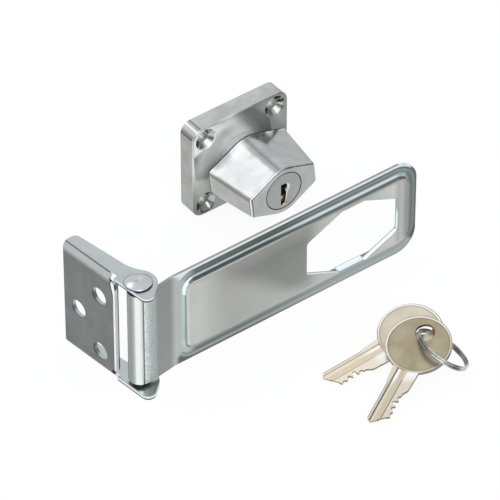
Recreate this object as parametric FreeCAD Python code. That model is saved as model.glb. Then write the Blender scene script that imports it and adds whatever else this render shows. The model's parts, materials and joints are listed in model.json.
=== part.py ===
"""A locking hasp: a hinged steel strap, a keyed turn-knob staple, and two keys on a split ring.

The set stands as it is shown for sale. The strap stands on edge, half open on its leaf. The knob and
its plate stand behind the strap, and the keys lie in front. The strap has a long opening that passes
over the knob. A quarter turn of the knob then traps the strap, and the key throws a bolt that stops
the knob from turning back.

All sizes are millimetres. The pin axis is the working origin and Z is up along it. The strap runs
along +X with its outer face towards -Y. The last step moves the origin to the middle of the footprint.
"""
import FreeCAD, Part
import math
import os

Vector = FreeCAD.Vector
UP = Vector(0, 0, 1)
BACK = Vector(0, 1, 0)

# Sheet metal of the hasp
sheet = 1.7                   # thickness of the strap and the leaf
pin_radius = 2.1
running_clearance = 0.05      # radial clearance of a shaft in its hole
side_clearance = 1.35         # between the strap and each ear
knuckle_bore = pin_radius + running_clearance
knuckle_mid = knuckle_bore + sheet / 2

# Strap
strap_width = 38.1
strap_reach = 113.4           # pin axis to tip
strap_front_offset = 2.43     # the flat's front face lies this far in front of the pin axis
strap_tip_round = 8.2
joggle_at = 12.9              # distance from the pin axis to the shallow bend
joggle_angle = 8.4            # degrees
joggle_radius = 6.0
step_bend_radius = 1.75       # middle of the sheet, where the strap turns in to the knuckle
curl_end_angle = -103.0       # degrees round the pin where the rolled sheet ends

# Raised panel pressed into the strap
emboss = 1.6
panel_start = 15.8            # foot of the panel wall, from the pin axis
panel_border = 2.9            # strap edge to the foot of the wall
panel_low_border = 4.9
panel_tip_border = 3.0
panel_wall = 1.1              # run of the sloped wall
panel_near_round = 4.6
panel_far_round = 6.4
panel_edge_round = 0.6

# Opening for the knob
opening_from_tip = 28.2       # middle of the opening to the strap's tip
opening_length = 38.5
opening_height = 26.5
opening_side = 13.5           # height of the two upright sides
opening_flat = 9.5            # length of the short flats at top and bottom
opening_round = 1.6

# Leaf that is screwed to the door
leaf_height = strap_width + 2 * side_clearance + 2 * sheet
leaf_reach = 32.0             # pin axis to the free end
leaf_start = 7.1              # pin axis to the plate's hinge-side edge
leaf_angle = 96.1             # degrees between strap and leaf, as shown
axis_height = 4.05            # pin axis above the mounting face
flange_free = 5.5             # depth of the flange at the free end
flange_root = 6.9             # depth where it sweeps out into the ear
flange_sweep_at = 12.0
ear_radius = 6.4
ear_nose = 8.2                # pin axis to the blunt front of the ear
ear_nose_round = 2.6
bend_inner = 0.5
bend_outer = bend_inner + sheet
relief_radius = 1.2
free_corner = 2.2
leaf_hole = 3.35              # radius
leaf_hole_near = 14.8
leaf_hole_far = 25.1
leaf_hole_spacing = 23.9
leaf_hole_height = 19.35      # middle of the pattern above the leaf's lower edge

# Pin
head_radius = 4.8
head_height = 2.0
rivet_radius = 3.0
rivet_depth = 1.1

# Lock plate
plate_width = 40.3
plate_height = 37.6
plate_thickness = 7.0
plate_corner = 4.2
plate_edge_round = 0.5
plate_left = 63.7             # from the pin axis
plate_front = 56.0
screw_spacing_x = 29.2
screw_spacing_z = 27.7
screw_hole = 2.3
countersink = 4.2
web = 3.8                     # metal left between the front face and the rear recess
recess_clearance = 0.8

# Knob
knob_gap = 3.45               # room for the raised panel between plate and knob
knob_depth = 20.75
knob_twist = 5.74             # degrees off square, as shown
rear_half_width = 16.35
rear_side = 5.1
rear_crown = 11.05
front_half_width = 13.65
front_side = 4.13
front_crown = 9.5
knob_corner = 1.2
knob_edge_round = 0.8
neck_radius = 9.2

# Cylinder plug
plug_radius = 7.35
plug_length = 14.5
plug_face_round = 0.35
tail_radius = 3.0
inner_wall = 1.5              # wall behind the plug
keyway_top = 3.0
keyway_bottom = -5.7
keyway_width = 2.5
ward = 0.7
wafer_count = 5
wafer_first = 2.6
wafer_pitch = 2.2
wafer_thickness = 1.0
wafer_half_width = 3.15
wafer_half_height = 6.1
wafer_window = 1.35           # half width of the wafer's window for the key
spring_step = 1.85            # the wafer is cut away beyond this for its spring
spring_floor = -1.5
spring_shelf = 3.6
spring_radius = 0.5
fit = 0.05

# Clip, cam and bolt behind the plug
clip_thickness = 0.7
clip_radius = 4.6
clip_groove = 2.5
cam_radius = 3.9
cam_thickness = 1.9
square_tail = 2.9
square_depth = 1.2
crank_radius = 2.12
crank_pin = 0.9
crank_clearance = 0.2
crank_length = 2.3
shaft_room = 5.0              # radius of the room for clip and cam
bolt_room = 6.6
bolt_half_width = 4.2
bolt_nose_half = 2.2
bolt_back = -4.6
bolt_shoulder = 1.8
bolt_thickness = 2.7
bolt_tip = 8.8                # from the lock's axis to the drawn bolt's tip
bolt_travel = crank_radius * math.sqrt(2)
notch_room = 0.35             # left free beyond the thrown bolt

# Stop washer behind the plate
washer_radius = 12.4
washer_thickness = 1.2
lug_length = 2.2
lug_half_angle = 8.0
lug_angle = 225.0             # where the lug stands when the knob is square
lug_play = 1.0                # degrees left free at each stop
washer_bore = 3.2
end_play = 0.1
washer_screw = 1.0
washer_screw_head = 1.9
washer_screw_length = 3.6
washer_screw_at = 7.9

# Keys
key_bow_length = 11.2         # half of the bow, along the key
key_bow_width = 11.0
key_thickness = 1.4
key_reach = 32.9              # middle of the bow to the tip
key_tip_slope = 4.0           # the tip falls back by this much on the cut side
key_blade = 6.6
key_neck = 18.6               # middle of the bow to the stop where the blade begins
key_flare = 1.3               # the neck is this much wider than the blade, on each side
key_hole = 3.3
key_hole_at = 4.9
key_groove = 0.45
groove_width = 2.2

# Split ring, and the keys on it, as they lie in front of the strap
ring_radius = 9.63            # to the middle of the wire
ring_wire = 0.5
ring_step = 0.85              # from one turn of the ring to the other
ring_along = 84.04            # the ring's middle, from the pin axis
ring_before = 53.47
ring_height = 7.7
ring_lean = 37.6              # degrees
ring_heading = 77.6
front_hole_along = 1.96       # the front key's ring hole, before the ring's middle
front_hole_behind = 6.6
front_hole_height = 10.58
front_heading = 205.0
front_roll = -1.1
rear_hole_along = -1.11
rear_hole_behind = 11.53
rear_hole_height = 8.63
rear_heading = 172.0
rear_roll = -14.3


def along_y(radius, start, stop, x=0.0, z=0.0):
    """A round bar parallel to Y between two values of y."""
    return Part.makeCylinder(radius, stop - start, Vector(x, start, z), BACK)


def block(x0, x1, y0, y1, z0, z1):
    return Part.makeBox(x1 - x0, y1 - y0, z1 - z0, Vector(x0, y0, z0))


def arc(start, middle, stop):
    return Part.Arc(start, middle, stop).toShape()


def line(start, stop):
    return Part.LineSegment(start, stop).toShape()


def outline(corners, radii):
    """A closed outline through the corners, each rounded by its own radius."""
    count = len(corners)
    arcs = []
    for i, corner in enumerate(corners):
        before = corners[i - 1] - corner
        after = corners[(i + 1) % count] - corner
        before.normalize()
        after.normalize()
        half = before.getAngle(after) / 2
        reach = radii[i] / math.tan(half)
        bisector = before + after
        bisector.normalize()
        centre = corner + bisector * (radii[i] / math.sin(half))
        arcs.append((corner + before * reach, centre - bisector * radii[i], corner + after * reach))
    edges = []
    for i in range(count):
        edges.append(arc(*arcs[i]))
        edges.append(line(arcs[i][2], arcs[(i + 1) % count][0]))
    return Part.Wire(edges)


def polygon(points):
    return Part.Wire([line(points[i - 1], points[i]) for i in range(len(points))])


def prism(wire, push, start=None):
    """Push a closed outline along a vector, first moved by start."""
    face = Part.Face(wire)
    if start:
        face.translate(start)
    return face.extrude(push)


def polar(radius, degrees):
    """A point round the lock's axis, counted the way a clock runs backwards, seen from the front."""
    a = math.radians(degrees)
    return Vector(radius * math.cos(a), 0, radius * math.sin(a))


def sector(radius, start, stop, y0, y1):
    """A slice of a round bar along Y between two angles."""
    middle = (start + stop) / 2
    edges = [line(Vector(), polar(radius, start)),
             arc(polar(radius, start), polar(radius, middle), polar(radius, stop)),
             line(polar(radius, stop), Vector())]
    return prism(Part.Wire(edges), Vector(0, y1 - y0, 0), Vector(0, y0, 0))


class BentSheet:
    """Follows the middle line of a bent sheet, seen from above, and keeps both of its faces."""

    def __init__(self, x, y, heading, thickness):
        self.place = Vector(x, y, 0)
        self.heading = math.radians(heading)
        self.half = thickness / 2
        self.faces = []
        self.start = (self.side(1), self.side(-1))

    def side(self, sign):
        across = Vector(-math.sin(self.heading), math.cos(self.heading), 0)
        return self.place + across * (sign * self.half)

    def straight(self, length):
        before = (self.side(1), self.side(-1))
        self.place = self.place + Vector(math.cos(self.heading), math.sin(self.heading), 0) * length
        self.faces.append(line(before[0], self.side(1)))
        self.faces.append(line(before[1], self.side(-1)))

    def bend(self, radius, degrees):
        """Turn by an angle, positive to the left, at the sheet's middle radius."""
        turn = math.radians(degrees)
        sign = 1 if turn > 0 else -1
        centre = self.place + Vector(-math.sin(self.heading), math.cos(self.heading), 0) * (sign * radius)
        inner = []
        outer = []
        for share in (0, 0.5, 1):
            heading = self.heading + turn * share
            out = Vector(math.sin(heading), -math.cos(heading), 0) * sign
            inner.append(centre + out * (radius - self.half))
            outer.append(centre + out * (radius + self.half))
        self.faces.append(arc(*inner))
        self.faces.append(arc(*outer))
        self.heading += turn
        self.place = centre + Vector(math.sin(self.heading), -math.cos(self.heading), 0) * (sign * radius)

    def solid(self, bottom, top):
        ends = [line(*self.start), line(self.side(1), self.side(-1))]
        wire = Part.Wire(Part.__sortEdges__(self.faces + ends))
        return prism(wire, Vector(0, 0, top - bottom), Vector(0, 0, bottom))


# Heights and distances that several pieces share
strap_bottom = sheet + side_clearance
strap_top = strap_bottom + strap_width
strap_middle = strap_bottom + strap_width / 2
strap_front = -strap_front_offset
strap_back = strap_front + sheet
plate_centre = Vector(plate_left + plate_width / 2, 0, plate_height / 2)
knob_rear = plate_front - knob_gap
knob_front = knob_rear - knob_depth
plug_end = knob_front + plug_length
wall_front = plug_end + fit
wall_back = wall_front + inner_wall
neck_end = plate_front + web + end_play
bolt_front = neck_end - fit - bolt_thickness
ring_middle = Vector(ring_along, -ring_before, ring_height)
front_hole = Vector(ring_along - front_hole_along, front_hole_behind - ring_before, front_hole_height)
rear_hole = Vector(ring_along - rear_hole_along, rear_hole_behind - ring_before, rear_hole_height)
cam_back = bolt_front - 3 * fit
cam_front = cam_back - cam_thickness


def panel_outline(inset, y):
    near = panel_start + inset
    end = strap_reach - panel_tip_border - inset
    low = strap_bottom + panel_low_border + inset
    high = strap_top - panel_border - inset
    corners = [Vector(near, y, low), Vector(end, y, low), Vector(end, y, high), Vector(near, y, high)]
    return outline(corners, [panel_near_round - inset, panel_far_round - inset,
                             panel_far_round - inset, panel_near_round - inset])


def make_strap():
    path = BentSheet(strap_reach, strap_front + sheet / 2, 180, sheet)
    path.straight(strap_reach - joggle_at)
    path.bend(joggle_radius, joggle_angle)
    travel = Vector(math.cos(path.heading), math.sin(path.heading), 0)
    inward = Vector(math.sin(path.heading), -math.cos(path.heading), 0)
    offset = path.place + inward * step_bend_radius
    reach = step_bend_radius + knuckle_mid
    along = offset.dot(travel)
    run = -along - math.sqrt(along * along - offset.dot(offset) + reach * reach)
    bend_centre = offset + travel * run
    meets = math.degrees(math.atan2(bend_centre.y, bend_centre.x))
    path.straight(run)
    path.bend(step_bend_radius, meets + 90 - math.degrees(path.heading))
    path.bend(knuckle_mid, 360 + curl_end_angle - meets)
    strap = path.solid(strap_bottom, strap_top)

    # round off the tip
    far = -2 * knuckle_mid
    tip = outline([Vector(far, 0, strap_bottom), Vector(strap_reach, 0, strap_bottom),
                   Vector(strap_reach, 0, strap_top), Vector(far, 0, strap_top)],
                  [0.01, strap_tip_round, strap_tip_round, 0.01])
    strap = strap.common(prism(tip, Vector(0, 20, 0), Vector(0, -10, 0)))

    # raise the panel and hollow it from behind, so that the wall keeps the sheet's thickness
    shift = sheet * math.tan(math.atan2(emboss, panel_wall) / 2)
    raised = Part.makeLoft([panel_outline(0, strap_front), panel_outline(panel_wall, strap_front - emboss)],
                           True, True)
    raised = raised.fuse(prism(panel_outline(0, strap_front), Vector(0, sheet / 2, 0)))
    hollow = Part.makeLoft([panel_outline(shift, strap_back), panel_outline(shift + panel_wall, strap_back - emboss)],
                           True, True)
    hollow = hollow.fuse(prism(panel_outline(shift, strap_back), Vector(0, 1, 0)))
    edge = [e for e in raised.Edges if e.BoundBox.YMax < strap_front - emboss + 0.01]
    raised = raised.makeFillet(panel_edge_round, edge)
    strap = strap.fuse(raised).cut(hollow)

    # the opening is eight-sided and passes over the knob
    half = opening_length / 2
    corners = [Vector(-half, 0, -opening_side / 2), Vector(-opening_flat / 2, 0, -opening_height / 2),
               Vector(opening_flat / 2, 0, -opening_height / 2), Vector(half, 0, -opening_side / 2),
               Vector(half, 0, opening_side / 2), Vector(opening_flat / 2, 0, opening_height / 2),
               Vector(-opening_flat / 2, 0, opening_height / 2), Vector(-half, 0, opening_side / 2)]
    hole = prism(outline(corners, [opening_round] * 8), Vector(0, 20, 0),
                 Vector(strap_reach - opening_from_tip, -15, strap_middle))
    return strap.cut(hole).removeSplitter()


def tangent_points(centre_a, radius_a, centre_b, radius_b, side):
    """Where a straight line touches two circles on the same side of them."""
    across = centre_b - centre_a
    base = math.atan2(across.y, across.x)
    turn = math.acos((radius_a - radius_b) / across.Length)
    out = Vector(math.cos(base + side * turn), math.sin(base + side * turn), 0)
    return centre_a + out * radius_a, centre_b + out * radius_b


def make_leaf():
    """Built flat on the door with its plate along +X, then swung to the angle shown."""
    back = axis_height
    sweep_y = back - flange_root
    nose = Vector(-ear_nose + ear_nose_round, back - ear_nose_round, 0)
    on_ear, on_nose = tangent_points(Vector(), ear_radius, nose, ear_nose_round, 1)
    sweep = (flange_sweep_at ** 2 + sweep_y ** 2 - ear_radius ** 2) / (2 * (ear_radius + sweep_y))
    centre = Vector(flange_sweep_at, sweep_y - sweep, 0)
    to_sweep = math.atan2(centre.y, centre.x)
    joins = Vector(ear_radius * math.cos(to_sweep), ear_radius * math.sin(to_sweep), 0)
    middle = joins + Vector(flange_sweep_at, sweep_y, 0) - centre * 2
    middle.normalize()
    root = Vector(flange_sweep_at, sweep_y, 0)
    free = Vector(leaf_reach, back - flange_free, 0)
    top = Vector(nose.x, back, 0)
    face = Vector(leaf_reach, back, 0)
    ear_middle = on_ear + joins
    ear_middle.normalize()
    diagonal = Vector(-1, 1, 0)
    diagonal.normalize()
    nose_middle = (on_nose - nose) + (top - nose)
    nose_middle.normalize()
    rim = [line(face, top), arc(top, nose + nose_middle * ear_nose_round, on_nose), line(on_nose, on_ear),
           arc(on_ear, ear_middle * ear_radius, joins), arc(joins, centre + middle * sweep, root),
           line(root, free), line(free, face)]
    side = prism(Part.Wire(rim), Vector(0, 0, leaf_height))
    corner = [e for e in side.Edges if e.BoundBox.XMin > leaf_reach - 0.01 and e.BoundBox.YMax < free.y + 0.01
              and e.Length > leaf_height / 2]
    side = side.makeFillet(free_corner, corner)

    deep = -ear_radius - 2
    outer = block(leaf_start, leaf_reach, deep, back, 0, leaf_height)
    edges = [e for e in outer.Edges if e.BoundBox.YMin > back - 0.01 and e.BoundBox.ZLength < 0.01]
    outer = outer.makeFillet(bend_outer, [e for e in edges if e.BoundBox.XLength > 1])
    inner = block(leaf_start - 1, leaf_reach + 1, deep - 1, back - sheet, sheet, leaf_height - sheet)
    edges = [e for e in inner.Edges if e.BoundBox.YMin > back - sheet - 0.01 and e.BoundBox.ZLength < 0.01]
    inner = inner.makeFillet(bend_inner, [e for e in edges if e.BoundBox.XLength > 1])
    leaf = side.common(outer.cut(inner))

    # the ears stay flat right up to the mounting face
    inside = block(leaf_start, leaf_reach, back - bend_outer, back + 1, -1, leaf_height + 1)
    for low in (0, leaf_height - sheet):
        slab = block(-20, leaf_reach + 1, -20, 20, low, low + sheet)
        leaf = leaf.fuse(side.common(slab).cut(inside))

    # reliefs where the bends begin
    for z in (bend_outer, leaf_height - bend_outer):
        x = leaf_start + relief_radius * 0.75
        slot = along_y(relief_radius, back - bend_outer, back + 1, x, z)
        slot = slot.fuse(block(leaf_start - 2, x, back - bend_outer, back + 1, z - relief_radius, z + relief_radius))
        low = sheet if z < strap_middle else -1
        high = leaf_height + 1 if z < strap_middle else leaf_height - sheet
        leaf = leaf.cut(slot.common(block(-20, 20, -20, 20, low, high)))

    # screw holes, and the holes for the pin
    for along, z in ((leaf_hole_near, leaf_hole_height - leaf_hole_spacing / 2),
                     (leaf_hole_near, leaf_hole_height + leaf_hole_spacing / 2),
                     (leaf_hole_far, leaf_hole_height)):
        leaf = leaf.cut(along_y(leaf_hole, 0, back + 1, along, z))
    leaf = leaf.cut(Part.makeCylinder(pin_radius, leaf_height + 2, Vector(0, 0, -1)))
    leaf = leaf.cut(Part.makeCone(rivet_radius, pin_radius, rivet_depth)).removeSplitter()
    leaf.rotate(Vector(), UP, leaf_angle)
    return leaf


def make_pin():
    """Headed at the top and closed flush at the bottom, so that the hasp can stand on its edge."""
    top = leaf_height
    rim = 0.5
    profile = [Vector(0, 0, 0), Vector(rivet_radius, 0, 0), Vector(pin_radius, 0, rivet_depth),
               Vector(pin_radius, 0, top), Vector(head_radius, 0, top), Vector(head_radius, 0, top + rim)]
    edges = [line(profile[i], profile[i + 1]) for i in range(len(profile) - 1)]
    rise = head_height - rim
    crown = (head_radius ** 2 + rise ** 2) / (2 * rise)
    peak = Vector(0, 0, top + head_height)
    half = math.asin(head_radius / crown) / 2
    edges.append(arc(profile[-1], peak + Vector(crown * math.sin(half), 0, crown * (math.cos(half) - 1)), peak))
    edges.append(line(peak, profile[0]))
    return Part.Face(Part.Wire(edges)).revolve(Vector(), UP, 360)


def make_plate():
    """Everything on the lock's own axis is drawn with that axis through the origin and moved later."""
    w = plate_width / 2
    h = plate_height / 2
    back = plate_front + plate_thickness
    corners = [Vector(-w, 0, -h), Vector(w, 0, -h), Vector(w, 0, h), Vector(-w, 0, h)]
    plate = prism(outline(corners, [plate_corner] * 4), Vector(0, plate_thickness, 0), Vector(0, plate_front, 0))
    rim = [e for e in plate.Edges if e.BoundBox.YMax < plate_front + 0.01]
    plate = plate.makeFillet(plate_edge_round, rim)
    plate = plate.cut(along_y(neck_radius + running_clearance, plate_front - 1, back))
    recess = washer_radius + recess_clearance
    plate = plate.cut(along_y(recess, plate_front + web, back + 1))
    start = lug_angle - lug_half_angle - lug_play
    stop = lug_angle + 90 + lug_half_angle + lug_play
    reach = washer_radius + lug_length + recess_clearance / 2
    plate = plate.cut(sector(reach, start, stop, plate_front + web, back + 1))
    for x in (-screw_spacing_x / 2, screw_spacing_x / 2):
        for z in (-screw_spacing_z / 2, screw_spacing_z / 2):
            plate = plate.cut(along_y(screw_hole, plate_front - 1, back + 1, x, z))
            sink = Part.makeCone(countersink, screw_hole, countersink - screw_hole, Vector(x, plate_front, z), BACK)
            plate = plate.cut(sink)
    # notches for the thrown bolt: straight up for the turned knob, and one for the level knob, which is
    # wide enough for the knob's play there
    top = bolt_tip + bolt_travel + notch_room
    side = bolt_nose_half + running_clearance * 2
    for angle in (90, knob_twist, knob_twist / 2, 0):
        notch = block(0, top, bolt_front - 0.1, back, -side, side)
        notch.rotate(Vector(), BACK, -angle)
        plate = plate.cut(notch)
    return plate.removeSplitter()


def knob_outline(half_width, side, crown, y):
    """Upright sides, sloped shoulders, and a crown that is round about the lock's axis."""
    corner = Vector(half_width, y, side)
    far = math.hypot(half_width, side)
    angle = math.atan2(side, half_width) + math.acos(crown / far)
    touch = Vector(crown * math.cos(angle), y, crown * math.sin(angle))

    def mirrored(v, sx, sz):
        return Vector(sx * v.x, v.y, sz * v.z)

    def rounded(sx, sz):
        down = Vector(0, 0, -1)
        slope = touch - corner
        slope.normalize()
        half = down.getAngle(slope) / 2
        reach = knob_corner / math.tan(half)
        bisector = down + slope
        bisector.normalize()
        mid = corner + bisector * (knob_corner / math.sin(half) - knob_corner)
        return [mirrored(p, sx, sz) for p in (corner + down * reach, mid, corner + slope * reach, touch)]

    ne = rounded(1, 1)
    nw = rounded(-1, 1)
    sw = rounded(-1, -1)
    se = rounded(1, -1)
    edges = [arc(ne[0], ne[1], ne[2]), line(ne[2], ne[3]), arc(ne[3], Vector(0, y, crown), nw[3]),
             line(nw[3], nw[2]), arc(nw[2], nw[1], nw[0]), line(nw[0], sw[0]),
             arc(sw[0], sw[1], sw[2]), line(sw[2], sw[3]), arc(sw[3], Vector(0, y, -crown), se[3]),
             line(se[3], se[2]), arc(se[2], se[1], se[0]), line(se[0], ne[0])]
    return Part.Wire(edges)


def make_knob():
    body = Part.makeLoft([knob_outline(rear_half_width, rear_side, rear_crown, knob_rear),
                          knob_outline(front_half_width, front_side, front_crown, knob_front)], True, True)
    rims = [e for e in body.Edges if e.BoundBox.YMax < knob_front + 0.01 or e.BoundBox.YMin > knob_rear - 0.01]
    body = body.makeFillet(knob_edge_round, rims)
    body = body.fuse(along_y(neck_radius, knob_rear - 1, neck_end))
    body = body.cut(along_y(plug_radius + running_clearance, knob_front - 1, wall_front))
    body = body.cut(along_y(tail_radius + running_clearance, knob_front, wall_back + 1))
    body = body.cut(along_y(shaft_room, wall_back, bolt_front))
    body = body.cut(along_y(bolt_room, bolt_front - fit, neck_end + 1))
    half = bolt_nose_half + fit
    body = body.cut(block(0, neck_radius + 1, bolt_front - fit, neck_end + 1, -half, half))
    for angle in (75, 180, 285):
        place = polar(washer_screw_at, angle)
        body = body.cut(along_y(washer_screw, neck_end - washer_screw_length, neck_end + 1, place.x, place.z))
    body = body.removeSplitter()
    body.rotate(Vector(), BACK, -knob_twist)
    return body


def keyway(slack, start, stop):
    """The slot's outline in the plug, with one ward on each side."""
    w = keyway_width / 2 + slack
    top = keyway_top + slack
    low = keyway_bottom - slack
    points = [(-w, low), (w, low), (w, -0.4), (w - ward, -0.4), (w - ward, 0.9), (w, 0.9), (w, top), (-w, top),
              (-w, -1.7), (ward - w, -1.7), (ward - w, -3.0), (-w, -3.0)]
    wire = polygon([Vector(x, 0, z) for x, z in points])
    return prism(wire, Vector(0, stop - start, 0), Vector(0, start, 0))


def wafer_at(index):
    return knob_front + wafer_first + index * wafer_pitch


def make_plug():
    plug = along_y(plug_radius, knob_front, plug_end)
    rim = [e for e in plug.Edges if e.BoundBox.YMax < knob_front + 0.01]
    plug = plug.makeFillet(plug_face_round, rim)
    plug = plug.fuse(along_y(tail_radius, plug_end - 1, cam_front))
    plug = plug.cut(keyway(0, knob_front - 1, wafer_at(wafer_count - 1) + wafer_thickness + 0.6))
    dimple = polar(2.17, 12.7)
    plug = plug.cut(Part.makeSphere(1.0, Vector(dimple.x, knob_front - 0.72, dimple.z)))
    side = wafer_half_width + fit
    for i in range(wafer_count):
        y = wafer_at(i) - fit
        end = y + wafer_thickness + 2 * fit
        slot = block(-side, spring_step + fit, y, end, -plug_radius, plug_radius)
        slot = slot.fuse(block(0, side, y, end, spring_floor, plug_radius))
        plug = plug.cut(slot)
    groove = along_y(tail_radius + 1, wall_back + fit, wall_back + 3 * fit + clip_thickness)
    plug = plug.cut(groove.cut(along_y(clip_groove, wall_back, cam_front)))
    half = square_tail / 2
    tail = block(-half, half, cam_front - 0.5, cam_front + square_depth, -half, half)
    return plug.fuse(tail).removeSplitter()


def make_wafer(index):
    """A flat plate with a window for the key and a step for its spring."""
    y = wafer_at(index)
    end = y + wafer_thickness
    lift = 0.45 * ((index * 3 + 1) % wafer_count) - 0.9
    wafer = block(-wafer_half_width, wafer_half_width, y, end, -wafer_half_height, wafer_half_height)
    wafer = wafer.cut(block(spring_step, 5, y - 1, end + 1, -10, spring_shelf))
    window = block(-wafer_window, wafer_window, y - 1, end + 1, keyway_bottom + 1.6 + lift, keyway_top + 0.5)
    return wafer.cut(window)


def make_wafer_spring(index):
    y = wafer_at(index) + wafer_thickness / 2
    x = spring_step + 0.1 + spring_radius
    return Part.makeCylinder(spring_radius, spring_shelf - spring_floor, Vector(x, y, spring_floor))


def make_clip():
    """A spring ring with a gap, snapped on the plug's tail behind the wall."""
    start = wall_back + 1.5 * fit
    clip = along_y(clip_radius, start, start + clip_thickness).cut(along_y(clip_groove, start - 1, start + 2))
    return clip.cut(block(0, 10, start - 1, start + 2, -1.2, 1.2))


def make_cam():
    cam = along_y(cam_radius, cam_front, cam_back)
    half = square_tail / 2
    cam = cam.cut(block(-half, half, cam_front - 1, cam_front + square_depth, -half, half))
    place = polar(crank_radius, knob_twist + 135)
    return cam.fuse(along_y(crank_pin, cam_back - 0.2, cam_back + crank_length, place.x, place.z))


def make_bolt():
    end = bolt_front + bolt_thickness
    body = block(bolt_back, bolt_shoulder, bolt_front, end, -bolt_half_width, bolt_half_width)
    body = body.common(along_y(bolt_room - 0.1, bolt_front - 1, end + 1))
    nose = block(0, bolt_tip, bolt_front, end, -bolt_nose_half, bolt_nose_half)
    tip = [e for e in nose.Edges if e.BoundBox.XMin > bolt_tip - 0.1 and e.BoundBox.YLength > 1]
    bolt = body.fuse(nose.makeFillet(0.4, tip))
    half = crank_pin + crank_clearance
    reach = crank_radius / math.sqrt(2)
    slot = along_y(half, bolt_front - 1, end + 1, -reach, reach)
    slot = slot.fuse(along_y(half, bolt_front - 1, end + 1, -reach, crank_radius))
    slot = slot.fuse(block(-reach - half, -reach + half, bolt_front - 1, end + 1, reach, crank_radius))
    bolt = bolt.cut(slot).removeSplitter()
    bolt.rotate(Vector(), BACK, -knob_twist)
    return bolt


def make_washer():
    end = neck_end + washer_thickness
    middle = lug_angle + knob_twist
    washer = along_y(washer_radius, neck_end, end)
    washer = washer.fuse(sector(washer_radius + lug_length, middle - lug_half_angle, middle + lug_half_angle,
                                neck_end, end))
    washer = washer.cut(along_y(washer_bore, neck_end - 1, end + 1))
    for angle in (75, 180, 285):
        place = polar(washer_screw_at, angle + knob_twist)
        washer = washer.cut(along_y(washer_screw, neck_end - 1, end + 1, place.x, place.z))
    return washer.removeSplitter()


def make_washer_screw(angle):
    place = polar(washer_screw_at, angle + knob_twist)
    end = neck_end + washer_thickness
    screw = along_y(washer_screw, neck_end - washer_screw_length + 0.3, end + 0.2, place.x, place.z)
    head = along_y(washer_screw_head, end, end + 1.1, place.x, place.z)
    rim = [e for e in head.Edges if e.BoundBox.YMin > end + 1]
    head = head.makeFillet(0.4, rim)
    slot = block(place.x - 3, place.x + 3, end + 0.6, end + 2, place.z - 0.25, place.z + 0.25)
    return screw.fuse(head).cut(slot)


def make_key():
    """Lies flat with the middle of its bow at the origin and its blade along +X."""
    half = key_blade / 2
    depth = key_thickness
    push = Vector(0, 0, depth)
    bow = Part.Ellipse(Vector(), key_bow_length, key_bow_width).toShape()
    key = prism(Part.Wire([bow]), push)
    # the neck is wider than the blade and ends in a rounded stop on the cut side
    inside = key_bow_length - 4
    back_step = key_neck - 1.6
    neck = outline([Vector(inside, -half - key_flare, 0), Vector(back_step, -half - 0.35, 0),
                    Vector(back_step, 0, 0), Vector(key_neck + 1.6, half - 0.6, 0),
                    Vector(key_neck - 1.2, half + key_flare * 0.9, 0),
                    Vector(inside, half + key_flare * 1.2, 0)], [0.4, 0.25, 0.4, 0.4, 2.0, 0.4])
    key = key.fuse(prism(neck, push))
    fallen = key_reach - key_tip_slope
    blade = prism(polygon([Vector(inside, -half, 0), Vector(key_reach - 1.0, -half, 0),
                           Vector(key_reach, -half + 1.2, 0), Vector(fallen, half, 0),
                           Vector(inside, half, 0)]), push)
    # five cuts along one edge, one for each wafer
    for i in range(wafer_count):
        x = key_neck + wafer_first + i * wafer_pitch
        deep = half - 0.4 - 0.3 * ((i * 3 + 1) % wafer_count)
        cut = polygon([Vector(x - 1.2, half + 0.4, -1), Vector(x - 0.4, deep, -1),
                       Vector(x + 0.4, deep, -1), Vector(x + 1.2, half + 0.4, -1)])
        blade = blade.cut(prism(cut, Vector(0, 0, depth + 2)))
    key = key.fuse(blade)
    # one long groove in each face
    start = key_bow_length - 0.6
    low = 1.0 - half
    key = key.cut(block(start, key_reach + 1, low, low + groove_width, depth - key_groove, depth + 1))
    key = key.cut(block(start, key_reach + 1, 0.4, 0.4 + groove_width * 0.8, -1, key_groove))
    key = key.cut(Part.makeCylinder(key_hole, depth + 2, Vector(-key_hole_at, 0, -1)))
    return key.removeSplitter()


def place_key(key, hole, heading, roll):
    """Hang the key by the middle of its ring hole, with the tip of its blade on the ground."""
    tilt = math.degrees(math.asin(hole.z / (key_reach + key_hole_at)))
    key.translate(Vector(key_hole_at, 0, 0))
    key.rotate(Vector(), Vector(1, 0, 0), roll)
    key.rotate(Vector(), BACK, tilt)
    key.rotate(Vector(), UP, heading)
    key.translate(hole)
    return key


def make_ring():
    """Two turns of wire that lie close together."""
    step = ring_step / 2
    tube = Part.makeTorus(ring_radius, ring_wire, Vector(0, 0, -step))
    ring = tube.fuse(Part.makeTorus(ring_radius, ring_wire, Vector(0, 0, step)))
    ring.rotate(Vector(), Vector(1, 0, 0), ring_lean)
    ring.rotate(Vector(), UP, ring_heading)
    ring.translate(ring_middle)
    return ring


def build():
    pieces = {"strap": make_strap(), "hinge_leaf": make_leaf(), "hinge_pin": make_pin()}
    lock = {"lock_plate": make_plate(), "knob_body": make_knob(), "key_plug": make_plug(),
            "plug_clip": make_clip(), "plug_cam": make_cam(), "locking_bolt": make_bolt(),
            "stop_washer": make_washer()}
    for i in range(wafer_count):
        lock["wafer_%d" % (i + 1)] = make_wafer(i)
        lock["wafer_spring_%d" % (i + 1)] = make_wafer_spring(i)
    for i, angle in enumerate((75, 180, 285)):
        lock["washer_screw_%d" % (i + 1)] = make_washer_screw(angle)
    for name, shape in lock.items():
        shape.translate(plate_centre)
        pieces[name] = shape
    pieces["key_front"] = place_key(make_key(), front_hole, front_heading, front_roll)
    pieces["key_rear"] = place_key(make_key(), rear_hole, rear_heading, rear_roll)
    pieces["key_ring"] = make_ring()
    return pieces


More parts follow.
